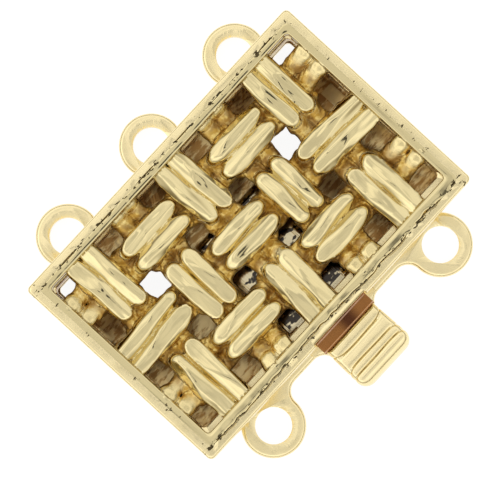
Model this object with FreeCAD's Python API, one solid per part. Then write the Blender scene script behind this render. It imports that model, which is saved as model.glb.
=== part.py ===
"""Three-strand box clasp with a basketweave top, fastened. Units are millimetres.

Frame: the origin is the centre of the back plate's outer face. +Z points out of the woven top,
+X from the box towards the thumb piece, and +Y along the clasp's long side.
"""

import FreeCAD, Part
import os
from math import atan2, cos, degrees, hypot, pi, radians, sin, sqrt

V = FreeCAD.Vector

# Case
CASE_X = 13.4                 # across, at the rim
CASE_Y = 20.4                 # along
CASE_TOP = 4.0                # rim height above the back's outer face
CASE_CORNER = 0.35            # radius of the upright corners
RIM_BEVEL = 0.16              # small bevel along the rim's outer edge
RIM_WALL = 0.48               # thickness of the wall beside the woven panel
FLARE_TOP = 1.9               # height where the flared foot of the wall ends
FLARE_IN = 0.55               # how far the foot of the wall stands in from the rim
LEDGE_Z = 2.85                # height of the ledge that the woven panel rests on
CAVITY_X_LOW = -5.65          # inner faces of the walls
CAVITY_X_HIGH = 5.25          # the mouth side is thick: it is the sill that the catch holds
CAVITY_Y = 9.2

# Back plate
PLATE_T = 0.70
SEAM = 0.02                   # gap between pieces that are pressed together
WINDOW_CORNER = 0.25
#              x low, x high, y low, y high; mirrored to -Y
WINDOWS = [(-5.55, -4.45, 7.75, 9.10),
           (-2.75, -0.75, 4.20, 6.10)]

# Loops
LOOP_PITCH = 6.6              # along Y, between strands
LOOP_R = 1.75
LOOP_HOLE_R = 1.0
BOX_LOOP_X = -7.22
BOX_LOOP_BLEND = 0.45         # radius where a loop meets its plate
TONGUE_LOOP_X = 7.80
TONGUE_LOOP_BLEND = 0.80

# Tongue
TONGUE_EDGE_X = 7.0           # outer edge of the tongue's plate between its loops
TONGUE_CASE_GAP = 0.10        # between the tongue's plate and the back plate
LEAF_T = 0.35
TONGUE_W = 4.90
LOWER_LEAF_END_X = 6.95
FOLD_X = -1.30                # axis of the fold
FOLD_INNER_R = 0.08
FOLD_GAP = 0.03               # slit between the two leaves' pieces, at the fold's far end
LEAF_RISE_Z = 2.15            # mid height of the upper leaf at its shoulders
SHOULDER_X = 5.12
NECK_W = 3.80
NECK_END_X = 9.25

# Mouth
MOUTH_W = 5.20
MOUTH_Z = 1.83                # top of the wide part: the shoulders catch above it
NOTCH_W = 3.96
NOTCH_Z = 2.55

# Thumb piece
THUMB_W = 3.80
THUMB_X = (7.35, 10.25)
THUMB_Z = (1.93, 3.20)
THUMB_SIDE_R = 0.55           # rounding of its sides and outer corners
THUMB_GAP = 0.02
RIB_RISE = 0.14               # height of each rib above its grooves
RIB_EDGES_X = [7.35, 8.05, 8.85, 9.32]
NOSE_R = 0.62                 # the roll at the outer end

# Woven panel
PANEL_GAP = 0.03              # the seam round the panel
BORDER_X = 0.50               # width of the panel's border on its long sides
BORDER_Y = 0.40
PAIR_LAP = 0.03               # how far the two strands of a pair run into each other
STRAND_H = 0.84
STRAND_SIDES = 10
OVER_Z = 3.70                 # mid height of a strand where it passes over
UNDER_Z = 3.10
RISE_Z = 3.46                 # mid height where a strand that ends below meets the border
HALF_CROSS = 0.80             # half of the level stretch at a crossing
STRAND_BITE = 0.25            # how far a strand runs into the border
CREST_DROP = 0.06             # how far a crest falls away at its two ends
COLUMN_X = [-3.62, -0.08, 3.12]   # centres of the pairs that run along Y
COLUMN_SPACING = [1.14, 1.12, 1.18]
ROW_PITCH = 3.41              # between the pairs that run along X
ROW_COUNT = 5
ROW_SPACING = 1.16

CASE_HALF_X = CASE_X / 2
CASE_HALF_Y = CASE_Y / 2
FOOT_HALF_X = CASE_HALF_X - FLARE_IN
FOOT_HALF_Y = CASE_HALF_Y - FLARE_IN
LOOP_Y = [-LOOP_PITCH, 0.0, LOOP_PITCH]
ROW_Y = [(index - (ROW_COUNT - 1) / 2) * ROW_PITCH for index in range(ROW_COUNT)]


def block(x_low, x_high, y_low, y_high, z_low, z_high):
    return Part.makeBox(x_high - x_low, y_high - y_low, z_high - z_low, V(x_low, y_low, z_low))


def rounded_rectangle(half_x, half_y, corner, z):
    """A closed wire, centred on the Z axis, with round corners."""
    arcs = []
    for start in range(4):
        turn = start * pi / 2
        sx = 1 if start in (0, 3) else -1
        sy = 1 if start in (0, 1) else -1
        centre = V(sx * (half_x - corner), sy * (half_y - corner), z)
        begin = centre + V(cos(turn), sin(turn), 0) * corner
        middle = centre + V(cos(turn + pi / 4), sin(turn + pi / 4), 0) * corner
        end = centre + V(cos(turn + pi / 2), sin(turn + pi / 2), 0) * corner
        arcs.append((begin, middle, end))
    edges = []
    for index, (begin, middle, end) in enumerate(arcs):
        edges.append(Part.Arc(begin, middle, end).toShape())
        edges.append(Part.LineSegment(end, arcs[(index + 1) % 4][0]).toShape())
    return Part.Wire(edges)


def rounded_block(half_x, half_y, corner, z_low, z_high):
    face = Part.Face(rounded_rectangle(half_x, half_y, corner, z_low))
    return face.extrude(V(0, 0, z_high - z_low))


def case_wall():
    """The four walls: flared foot, upright rim, rebate for the panel, sill and mouth."""
    foot_z = PLATE_T + SEAM
    foot = Part.makeLoft([rounded_rectangle(FOOT_HALF_X, FOOT_HALF_Y, CASE_CORNER, foot_z),
                          rounded_rectangle(CASE_HALF_X, CASE_HALF_Y, CASE_CORNER, FLARE_TOP)],
                         True, True)
    upright = rounded_block(CASE_HALF_X, CASE_HALF_Y, CASE_CORNER, FLARE_TOP, CASE_TOP)
    top_edges = [e for e in upright.Edges if all(abs(v.Z - CASE_TOP) < 1e-6 for v in e.Vertexes)]
    upright = upright.makeChamfer(RIM_BEVEL, top_edges)
    wall = upright.fuse(foot)
    cavity = block(CAVITY_X_LOW, CAVITY_X_HIGH, -CAVITY_Y, CAVITY_Y, 0, CASE_TOP)
    rebate = block(-CASE_HALF_X + RIM_WALL, CASE_HALF_X - RIM_WALL,
                   -CASE_HALF_Y + RIM_WALL, CASE_HALF_Y - RIM_WALL, LEDGE_Z, CASE_TOP + 1)
    mouth = block(CAVITY_X_HIGH - 1, CASE_HALF_X + 1, -MOUTH_W / 2, MOUTH_W / 2, 0, MOUTH_Z)
    notch = block(CAVITY_X_HIGH - 1, CASE_HALF_X + 1, -NOTCH_W / 2, NOTCH_W / 2, 0, NOTCH_Z)
    return wall.cut([cavity, rebate, mouth, notch]).removeSplitter()


def looped_plate(outline, loop_x, side, trim_x, blend):
    """A flat plate with three loops beyond its edge on that side, drilled and blended in."""
    discs = [Part.makeCylinder(LOOP_R, PLATE_T, V(loop_x, y, 0)) for y in LOOP_Y]
    plate = outline.fuse(discs).removeSplitter()
    keep = block(min(trim_x, side * 20), max(trim_x, side * 20), -CASE_Y, CASE_Y, -1, PLATE_T + 1)
    plate = plate.common(keep).removeSplitter()
    corners = []
    for edge in plate.Edges:
        low, high = edge.Vertexes[0].Point, edge.Vertexes[-1].Point
        upright = abs(low.x - high.x) < 1e-6 and abs(low.y - high.y) < 1e-6
        if not upright or abs(low.z - high.z) < 1e-6:
            continue
        for y in LOOP_Y:
            on_disc = abs(hypot(low.x - loop_x, low.y - y) - LOOP_R) < 1e-4
            if on_disc and abs(low.x - trim_x) > 0.05:
                corners.append(edge)
    plate = plate.makeFillet(blend, corners)
    holes = [Part.makeCylinder(LOOP_HOLE_R, PLATE_T + 2, V(loop_x, y, -1)) for y in LOOP_Y]
    return plate.cut(holes)


def back_plate():
    """The back, with the box's three loops on -X and its four windows."""
    sheet = rounded_block(FOOT_HALF_X, FOOT_HALF_Y, CASE_CORNER, 0, PLATE_T)
    plate = looped_plate(sheet, BOX_LOOP_X, -1, FOOT_HALF_X, BOX_LOOP_BLEND)
    for x_low, x_high, y_low, y_high in WINDOWS:
        opening = rounded_block((x_high - x_low) / 2, (y_high - y_low) / 2, WINDOW_CORNER, -1, PLATE_T + 1)
        for side in (-1, 1):
            cutter = opening.copy()
            cutter.translate(V((x_low + x_high) / 2, side * (y_low + y_high) / 2, 0))
            plate = plate.cut(cutter)
    return plate


def fold_z():
    """Height of the fold's axis."""
    return PLATE_T + SEAM + LEAF_T + FOLD_INNER_R


def fold_sector(from_deg, to_deg, width):
    """A sector of the tongue's fold: angles run from +X towards +Z, seen from -Y."""
    centre = V(FOLD_X, 0, fold_z())
    rim = []
    for radius in (FOLD_INNER_R, FOLD_INNER_R + LEAF_T):
        points = []
        for angle in (from_deg, (from_deg + to_deg) / 2, to_deg):
            a = radians(angle)
            points.append(centre + V(cos(a), 0, sin(a)) * radius + V(0, -width / 2, 0))
        rim.append(points)
    (in_0, in_1, in_2), (out_0, out_1, out_2) = rim
    wire = Part.Wire([Part.Arc(in_0, in_1, in_2).toShape(), Part.LineSegment(in_2, out_2).toShape(),
                      Part.Arc(out_2, out_1, out_0).toShape(), Part.LineSegment(out_0, in_0).toShape()])
    return Part.Face(wire).extrude(V(0, width, 0))


def leaf_slope_deg():
    """The upper leaf's slope: it leaves the fold as a tangent and reaches LEAF_RISE_Z at the shoulders."""
    mid_r = FOLD_INNER_R + LEAF_T / 2
    run = SHOULDER_X - FOLD_X
    rise = LEAF_RISE_Z - fold_z()
    reach = hypot(run, rise)
    return degrees(atan2(rise, run) - atan2(mid_r, sqrt(reach * reach - mid_r * mid_r)))


def tongue_plate():
    """The tongue half's plate with its loops, the lower leaf and the lower side of the fold."""
    strip = block(FOOT_HALF_X + TONGUE_CASE_GAP, TONGUE_EDGE_X, -LOOP_PITCH, LOOP_PITCH, 0, PLATE_T)
    plate = looped_plate(strip, TONGUE_LOOP_X, 1, FOOT_HALF_X + TONGUE_CASE_GAP, TONGUE_LOOP_BLEND)
    leaf_low = PLATE_T + SEAM
    leaf = block(FOLD_X, LOWER_LEAF_END_X, -TONGUE_W / 2, TONGUE_W / 2, leaf_low, leaf_low + LEAF_T)
    solder = block(FOOT_HALF_X + TONGUE_CASE_GAP, LOWER_LEAF_END_X, -TONGUE_W / 2, TONGUE_W / 2,
                   PLATE_T - SEAM, leaf_low + SEAM)
    fold = fold_sector(180, 270, TONGUE_W)
    slit = block(FOLD_X - 1, FOLD_X, -TONGUE_W, TONGUE_W, fold_z() - FOLD_GAP, fold_z() + FOLD_GAP)
    return plate.fuse([solder, leaf, fold.cut(slit)]).removeSplitter()


def tongue_leaf():
    """The upper leaf: its side of the fold, the sloping spring, the shoulders and the neck."""
    slope = leaf_slope_deg()
    fold = fold_sector(90 + slope, 180, TONGUE_W)
    along = V(cos(radians(slope)), 0, sin(radians(slope)))
    across = V(-along.z, 0, along.x)
    root = V(FOLD_X, 0, fold_z()) + across * FOLD_INNER_R
    bend = V(SHOULDER_X, 0, LEAF_RISE_Z)
    lower = [root, V(bend.x, 0, bend.z - LEAF_T / 2), V(NECK_END_X, 0, bend.z - LEAF_T / 2)]
    upper = [V(NECK_END_X, 0, bend.z + LEAF_T / 2), V(bend.x, 0, bend.z + LEAF_T / 2),
             root + across * LEAF_T]
    profile = Part.Face(Part.makePolygon(lower + upper + lower[:1]))
    spring = profile.extrude(V(0, TONGUE_W, 0))
    spring.translate(V(0, -TONGUE_W / 2, 0))
    waste = [block(SHOULDER_X, NECK_END_X + 1, side * NECK_W / 2 - (0 if side > 0 else 2),
                   side * NECK_W / 2 + (2 if side > 0 else 0), 0, CASE_TOP) for side in (-1, 1)]
    return spring.cut(waste).fuse(fold).removeSplitter()


def thumb_piece():
    """The ribbed pad, which wraps the end of the neck."""
    x_in, x_out = THUMB_X
    z_low, z_top = THUMB_Z
    groove_z = z_top - RIB_RISE
    seat_z = LEAF_RISE_Z + LEAF_T / 2 + THUMB_GAP
    wrap_x = NECK_END_X + THUMB_GAP
    edges = [Part.LineSegment(V(x_in, 0, seat_z), V(x_in, 0, groove_z)).toShape()]
    for left, right in zip(RIB_EDGES_X, RIB_EDGES_X[1:]):
        crest = V((left + right) / 2, 0, z_top)
        edges.append(Part.Arc(V(left, 0, groove_z), crest, V(right, 0, groove_z)).toShape())
    roll = V(RIB_EDGES_X[-1], 0, groove_z)
    crown = V(x_out - NOSE_R, 0, z_top)
    swell = V(roll.x + (crown.x - roll.x) * 0.3, 0, z_top - RIB_RISE * 0.25)
    bow = NOSE_R * (1 - cos(radians(45)))
    front = V(x_out, 0, z_top - NOSE_R)
    heel = V(x_out - NOSE_R / 2, 0, z_low)
    edges.append(Part.Arc(roll, swell, crown).toShape())
    edges.append(Part.Arc(crown, V(x_out - bow, 0, z_top - bow), front).toShape())
    edges.append(Part.Arc(front, V(x_out - NOSE_R / 10, 0, (front.z + z_low) / 2), heel).toShape())
    for begin, end in ((heel, V(wrap_x, 0, z_low)), (V(wrap_x, 0, z_low), V(wrap_x, 0, seat_z)),
                       (V(wrap_x, 0, seat_z), V(x_in, 0, seat_z))):
        edges.append(Part.LineSegment(begin, end).toShape())
    bar = Part.Face(Part.Wire(edges)).extrude(V(0, THUMB_W, 0))
    bar.translate(V(0, -THUMB_W / 2, 0))
    envelope = block(x_in - 1, x_out, -THUMB_W / 2, THUMB_W / 2, z_low - 1, z_top)
    soft = []
    for edge in envelope.Edges:
        middle = edge.CenterOfMass
        at_side = abs(abs(middle.y) - THUMB_W / 2) < 1e-6
        if at_side and (abs(middle.z - z_top) < 1e-6 or abs(middle.x - x_out) < 1e-6):
            soft.append(edge)
    return bar.common(envelope.makeFillet(THUMB_SIDE_R, soft))


def row_passes_over(row, column):
    """The weave: rows and columns take turns to be on top."""
    return (row + column) % 2 == 0


def strand_path(centres, over, reach):
    """Where a strand runs, as (distance along, mid height): level at each crossing, sloping between."""
    points = []
    for centre, is_over in zip(centres, over):
        if is_over:
            points += [(centre - HALF_CROSS, OVER_Z - CREST_DROP), (centre, OVER_Z),
                       (centre + HALF_CROSS, OVER_Z - CREST_DROP)]
        else:
            points += [(centre - HALF_CROSS, UNDER_Z), (centre + HALF_CROSS, UNDER_Z)]
    first_z, last_z = [OVER_Z - CREST_DROP if is_over else RISE_Z for is_over in (over[0], over[-1])]
    return [(-reach, first_z)] + points + [(reach, last_z)]


def strand(path, offset, width, along_x):
    """One strand: a ten-sided bar mitred along its path, as a solid with flat faces."""
    half_w = width / 2 / cos(pi / STRAND_SIDES)
    section = []
    for corner in range(STRAND_SIDES):
        angle = 2 * pi * (corner + 0.5) / STRAND_SIDES
        section.append((half_w * cos(angle), STRAND_H / 2 * sin(angle)))
    directions = []
    for (s0, z0), (s1, z1) in zip(path, path[1:]):
        length = hypot(s1 - s0, z1 - z0)
        directions.append(((s1 - s0) / length, (z1 - z0) / length))
    rings = []
    for index, (s, z) in enumerate(path):
        before = directions[max(index - 1, 0)]
        after = directions[min(index, len(directions) - 1)]
        mean_s, mean_z = before[0] + after[0], before[1] + after[1]
        size = hypot(mean_s, mean_z)
        normal_s, normal_z = -mean_z / size, mean_s / size
        stretch = 1 / (normal_s * -before[1] + normal_z * before[0])
        ring = []
        for side, height in section:
            along = s + normal_s * height * stretch
            up = z + normal_z * height * stretch
            ring.append(V(along, offset + side, up) if along_x else V(offset + side, along, up))
        rings.append(ring)
    faces = []
    for near, far in zip(rings, rings[1:]):
        for i in range(STRAND_SIDES):
            j = (i + 1) % STRAND_SIDES
            faces.append(Part.Face(Part.makePolygon([near[i], near[j], far[j], far[i], near[i]])))
    for cap in (rings[0], rings[-1]):
        faces.append(Part.Face(Part.makePolygon(cap + cap[:1])))
    bar = Part.Solid(Part.Shell(faces))
    if bar.Volume < 0:
        bar.reverse()
    return bar


def woven_top():
    """The pierced panel: paired strands weaving over and under inside a narrow border."""
    half_x = CASE_HALF_X - RIM_WALL - PANEL_GAP
    half_y = CASE_HALF_Y - RIM_WALL - PANEL_GAP
    base_z = LEDGE_Z + SEAM
    border = block(-half_x, half_x, -half_y, half_y, base_z, CASE_TOP)
    border = border.cut(block(-half_x + BORDER_X, half_x - BORDER_X,
                              -half_y + BORDER_Y, half_y - BORDER_Y, base_z - 1, CASE_TOP + 1))
    reach_x = half_x - BORDER_X + STRAND_BITE
    reach_y = half_y - BORDER_Y + STRAND_BITE * BORDER_Y / BORDER_X
    strands = []
    for column, (x, spacing) in enumerate(zip(COLUMN_X, COLUMN_SPACING)):
        over = [not row_passes_over(row, column) for row in range(ROW_COUNT)]
        path = strand_path(ROW_Y, over, reach_y)
        for side in (-1, 1):
            strands.append(strand(path, x + side * spacing / 2, spacing + PAIR_LAP, False))
    for row, y in enumerate(ROW_Y):
        over = [row_passes_over(row, column) for column in range(len(COLUMN_X))]
        path = strand_path(COLUMN_X, over, reach_x)
        for side in (-1, 1):
            strands.append(strand(path, y + side * ROW_SPACING / 2, ROW_SPACING + PAIR_LAP, True))
    return border.multiFuse(strands).removeSplitter()


NODES = {
    "case_wall": case_wall,
    "back_plate": back_plate,
    "tongue_plate": tongue_plate,
    "tongue_leaf": tongue_leaf,
    "thumb_piece": thumb_piece,
    "woven_top": woven_top,
}

os.makedirs("parts", exist_ok=True)
for name, make in NODES.items():
    shape = make()
    solids = shape.Solids
    print(name, "solids", len(solids), "valid", shape.isValid(), "volume", round(shape.Volume, 3),
          "faces", len(shape.Faces))
    shape.exportStep("parts/" + name + ".step")
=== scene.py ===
"""The looks of a fastened three-strand box clasp with a cast basketweave top.

The clasp lies on its back on a white table. Every form is worked out in millimetres, in the clasp's own
frame: the origin is the centre of the back's outer face, +Z points out of the woven top, +X towards the
thumb piece and +Y along the long side. A piece becomes metres when its mesh is built.
"""

from math import acos, atan2, cos, degrees, pi, radians, sin, sqrt, tau

import bpy
import numpy as np
from mathutils import Matrix, Vector


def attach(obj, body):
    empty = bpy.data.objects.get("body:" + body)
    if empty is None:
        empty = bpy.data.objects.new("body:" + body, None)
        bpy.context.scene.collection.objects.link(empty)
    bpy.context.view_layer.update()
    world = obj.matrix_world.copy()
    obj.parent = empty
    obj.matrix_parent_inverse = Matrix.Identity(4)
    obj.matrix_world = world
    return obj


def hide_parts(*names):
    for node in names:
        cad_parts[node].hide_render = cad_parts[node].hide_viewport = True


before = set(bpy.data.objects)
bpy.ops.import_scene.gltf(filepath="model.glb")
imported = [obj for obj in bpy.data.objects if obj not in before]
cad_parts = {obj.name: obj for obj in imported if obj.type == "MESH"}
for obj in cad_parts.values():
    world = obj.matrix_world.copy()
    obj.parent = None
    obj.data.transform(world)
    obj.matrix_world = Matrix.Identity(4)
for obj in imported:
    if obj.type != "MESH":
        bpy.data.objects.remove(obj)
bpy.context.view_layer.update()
MM = 0.001

# Case
RIM_X = 6.7                    # outer faces of the rim
RIM_Y = 10.2
RIM_TOP = 4.0
RIM_CORNER = 0.28
RIM_ROUND = 0.16               # soft outer edge of the rim
FOOT_IN = 0.55                 # how far the wall's foot stands in from the rim
FOOT_Z = 0.72
FLARE_Z = 1.9
LEDGE_Z = 2.85
CAVITY = (-5.65, 5.25, 9.2)    # x low, x high, half along y
CAVITY_CORNER = 0.25
WINDOW = (-5.78, 5.62, 9.26)   # inner edges of the border
WINDOW_CORNER = 0.22
BORDER_ROUND = 0.10            # the border's edge round the window
SEAM = (6.2, 9.69, 0.30)       # the seam between border and case: half sizes and corner
SEAM_LIP = 0.02                # how far the metal beside it is worn down
MOUTH = (5.20, 1.83)           # full width, top
NOTCH = (3.96, 2.55)           # the same for the neck's slot above it
RELIEF_X = 6.54                # the rim is cut back to here over the thumb piece's neck

# Plates
PLATE_T = 0.70
PLATE_ROUND = 0.22             # along the outline
HOLE_ROUND = 0.03              # along holes and windows
BACK_HALF = (6.15, 9.65)
BACK_CORNER = 0.35
LOOP_Y = (-6.6, 0.0, 6.6)
LOOP_R = 1.75
LOOP_HOLE_R = 1.0
BOX_LOOP_X = -7.22
BOX_LOOP_BLEND = 0.45
TONGUE_LOOP_X = 7.80
TONGUE_LOOP_BLEND = 0.80
TONGUE_PLATE_X = (6.25, 7.0)
BACK_WINDOW_CORNER = 0.25
#               x low, x high, y low, y high; mirrored to -Y
BACK_WINDOWS = [(-5.63, -4.45, 7.75, 9.10),
                (-2.75, -0.75, 4.20, 6.10)]

# Tongue
LEAF_T = 0.35
LEAF_W = 4.90
NECK_W = 3.80
FOLD = (-1.30, 1.15)           # x and z of the fold's axis
FOLD_MID_R = 0.255
LOWER_LEAF_Z = 0.895
LOWER_LEAF_END_X = 6.95
SHOULDER = (5.12, 2.15)
NECK_END_X = 9.25
SEAT_W = 3.50                  # the neck's width inside the thumb piece
SHEET_ROUND = 0.06

# Thumb piece
THUMB_X = (7.28, 10.25)
THUMB_Z = (1.93, 3.20)
THUMB_HALF_W = 1.90
THUMB_SEAT_Z = 2.345
THUMB_WRAP_X = 9.27
THUMB_CORNER = 0.70
THUMB_STEP = 0.036             # spacing of its mesh
NOSE_R = 0.75
RIB_FALL = 0.075               # how far a rib falls towards its grooves
GROOVES = [(8.05, -0.10), (8.85, 0.05), (9.33, 0.03)]    # place, and how far its ends curl
GROOVE_W = 0.032
GROOVE_END = 1.78              # where the grooves run out, from the middle
NICK = (0.035, 0.07)           # depth and width of a groove's nick in the sides

# Woven top
WEAVE_BOX = ((-6.05, -9.55, 2.5), (6.05, 9.55, 4.2))
WEAVE_STEP = 0.097             # spacing of the casting's mesh
BEAD_HALF_W = 0.565
BEAD_HALF_H = 0.37
BEAD_Z = 3.73                  # mid height of a bead at its middle
BEAD_FULL = 2.35               # 2 is a plain oval section, more is a fuller one
BEAD_NOSE = (0.75, 1.10)       # length of its tapered tips, for beads along X and along Y
BEAD_DROOP = 0.10              # how far its tips hang below its middle
FACET_TURNS = (-58, -36, -17, 2, 21, 38, 60)    # where its facets face, in degrees from straight up
FACET_PARTS = (-0.75, -0.3, 0.2, 0.65)          # their places along it, from -1 to 1
FACET_ROUND = 0.016
TOP_FACETS = 40                # facets that face further round than this are steadier
LINK_HALF_W = 0.53             # the strand between beads, where it dives under the next pair
LINK_HALF_H = 0.36
LINK_LOW = 2.97
LINK_HIGH = 3.30
LINK_AT_BORDER = 3.57
WEB = (3.05, 3.20, 0.2)        # metal in the groove of a pair: foot, mean top, half width
FLOOR = (2.76, 3.10)           # grainy metal between the strands of a pair: foot, mean top
LUMP_OUT = (0.95, 1.15)        # a lump's distance from its crossing, least and most
LUMP_HALF = (0.20, 0.34)
LUMP_Z = (2.95, 3.2)
LUMP_HALF_Z = 0.26
COLUMN_SPREAD = [-0.24, 0.0, 0.12]   # how far the columns stray at their ends
CREASE = 0.03                  # roundness between the two beads of a pair
CAST_BLEND = 0.15              # roundness where other cast forms run together
COLUMNS = [-3.59, -0.14, 3.11]
ROWS = [-7.00, -3.61, -0.18, 3.23, 6.63]
PAIR = 0.55                    # from the middle of a pair to either strand
#                column, bend across, first tip, last tip: the pairs on top that run along Y
BEADS_ALONG_Y = [(1, -0.13, -9.6, -4.90), (0, 0.00, -5.32, -1.42), (2, 0.00, -5.52, -1.55),
                 (1, 0.00, -2.10, 1.80), (0, 0.00, 1.42, 5.30), (2, 0.00, 1.42, 5.32),
                 (1, 0.11, 4.80, 9.6)]
#                row, bend across, first tip, last tip: the pairs on top that run along X
BEADS_ALONG_X = [(0, 0.05, -6.1, -1.62), (0, -0.04, 1.38, 6.0), (1, 0.00, -2.05, 1.88),
                 (2, 0.10, -6.1, -1.78), (2, -0.13, 1.78, 6.0), (3, 0.00, -1.84, 1.84),
                 (4, -0.02, -6.1, -2.05), (4, 0.00, 1.66, 6.0)]

random = np.random.default_rng(7)


def eased(places, stops):
    """Heights along a line: given at each stop, and passing smoothly from one to the next."""
    where, heights = np.array(stops, float).T
    part = np.interp(places, where, np.arange(len(where)))
    whole = np.floor(part)
    rest = part - whole
    return np.interp(whole + rest * rest * (3 - 2 * rest), np.arange(len(heights)), heights)


def wander(count, length):
    """A smooth random line: a function of the place along it, between about -1 and 1."""
    turns = tau / length * random.uniform(0.5, 1.6, count)
    starts = random.uniform(0, tau, count)

    def line(places):
        waves = np.sin(np.multiply.outer(places, turns) + starts)
        return waves.sum(axis=-1) / sqrt(count)
    return line


def smooth_union(a, b, blend):
    """What lies inside either of two fields, rounded where they meet."""
    near = np.maximum(blend - np.abs(a - b), 0) / blend
    return np.minimum(a, b) - near * near * blend / 4


def smooth_cut(a, b, blend):
    """What lies inside both."""
    return -smooth_union(-a, -b, blend)


def inside_all(*fields):
    """What lies inside every one of several fields."""
    return np.maximum.reduce(fields)


def build(name, vertices, faces, sharp_deg=None):
    """A mesh object from points in millimetres."""
    mesh = bpy.data.meshes.new(name)
    mesh.from_pydata((np.asarray(vertices) * MM).tolist(), [], [list(face) for face in faces])
    mesh.validate()
    mesh.shade_smooth()
    if sharp_deg:
        mesh.set_sharp_from_angle(angle=radians(sharp_deg))
    piece = bpy.data.objects.new(name, mesh)
    bpy.context.scene.collection.objects.link(piece)
    return piece


def cell_faces(value, index):
    """A face round each grid edge that the surface crosses, from the vertices of its four cells."""
    faces = []
    for axis in range(3):
        one, two = (axis + 1) % 3, (axis + 2) % 3
        span = [slice(1, -1)] * 3
        span[axis] = slice(0, -1)
        ahead = list(span)
        ahead[axis] = slice(1, None)
        near, far = value[tuple(span)] < 0, value[tuple(ahead)] < 0
        for leaving in (True, False):
            hit = np.argwhere((near != far) & (near == leaving))
            hit[:, one] += 1
            hit[:, two] += 1
            around = []
            for back_one, back_two in ((1, 1), (0, 1), (0, 0), (1, 0)):
                cell = hit.copy()
                cell[:, one] -= back_one
                cell[:, two] -= back_two
                around.append(index[cell[:, 0], cell[:, 1], cell[:, 2]])
            quads = np.stack(around if leaving else around[::-1], axis=1)
            faces.append(quads[(quads >= 0).all(axis=1)])
    return np.concatenate(faces)


def drawn_onto(field, vertices, step):
    """Vertices moved onto the surface where a field is zero, by less than a step at a time."""
    nudge = 1e-4
    for _ in range(3):
        here = field(vertices)
        slope = np.stack([(field(vertices + d) - here) / nudge for d in np.eye(3) * nudge], axis=1)
        size = np.maximum((slope * slope).sum(axis=1), 0.05)
        move = -slope * (here / size)[:, None]
        limit = np.maximum(np.linalg.norm(move, axis=1) / (0.6 * step), 1)
        vertices = vertices + move / limit[:, None]
    return vertices


def skin(field, low, high, step):
    """Vertices and faces of the surface where a field is zero: one vertex in each cell that it crosses."""
    axes = [np.arange(a - step, b + 2 * step, step) for a, b in zip(low, high)]
    shape = tuple(len(axis) for axis in axes)
    grid = np.stack(np.meshgrid(*axes, indexing="ij"), axis=-1).reshape(-1, 3)
    value = field(grid).reshape(shape)
    corners = [(i, j, k) for i in (0, 1) for j in (0, 1) for k in (0, 1)]
    cells = tuple(n - 1 for n in shape)

    def at(corner):
        i, j, k = corner
        return value[i:i + cells[0], j:j + cells[1], k:k + cells[2]]
    inside = sum((at(corner) < 0).astype(int) for corner in corners)
    crossed = (inside > 0) & (inside < 8)
    index = np.full(cells, -1)
    index[crossed] = np.arange(crossed.sum())
    place = np.zeros((crossed.sum(), 3))
    hits = np.zeros(crossed.sum())
    for a in corners:
        for axis in range(3):
            if a[axis]:
                continue
            b = tuple(1 if n == axis else a[n] for n in range(3))
            from_value, to_value = at(a)[crossed], at(b)[crossed]
            cut = (from_value < 0) != (to_value < 0)
            part = np.where(cut, from_value / np.where(cut, from_value - to_value, 1), 0)
            spot = np.array(a) + np.outer(part, np.eye(3)[axis])
            place += spot * cut[:, None]
            hits += cut
    origin = np.array([axis[0] for axis in axes])
    vertices = origin + step * (np.argwhere(crossed) + place / hits[:, None])
    return drawn_onto(field, vertices, step), cell_faces(value, index)


REACH = 0.32                   # how far outside its own box a form still counts


class Form:
    """A solid form of the casting: its box, its depth field, and how softly it runs into the others."""

    def __init__(self, low, high, depth, blend=CAST_BLEND, along=0, start=(0.0, 0.0), polish=0.0):
        self.low, self.high = np.array(low, float), np.array(high, float)
        self.depth, self.blend, self.polish = depth, blend, polish
        self.along, self.start = along, start

    def near(self, points):
        return ((points > self.low - REACH) & (points < self.high + REACH)).all(axis=1)


def box_along(along, span, width, heights):
    """Low and high corners of a box whose span runs along X (0) or Y (1)."""
    sides = [width, width, heights]
    sides[along] = span
    return np.array(sides, float).T


def cast_together(forms):
    """One field from several forms, each worked out only near its own box."""
    def field(points):
        value = np.full(len(points), REACH)
        for form in forms:
            near = form.near(points)
            value[near] = smooth_union(value[near], form.depth(points[near]), form.blend)
        return value
    return field


def strand_places(points, forms):
    """For each point, its place along and across the form that it lies on, that form's number, and how
    far that form was polished."""
    places = points.copy()
    polish = np.zeros(len(points))
    closest = np.full(len(points), np.inf)
    for number, form in enumerate(forms):
        near = np.flatnonzero(form.near(points))
        depth = form.depth(points[near])
        won = near[depth < closest[near]]
        closest[near] = np.minimum(closest[near], depth)
        places[won, 0] = points[won, form.along] - form.start[0]
        places[won, 1] = points[won, 1 - form.along] - form.start[1]
        places[won, 2] = 1.7 * number    # sets the noise of neighbouring forms apart
        polish[won] = form.polish
    return places, polish


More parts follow.
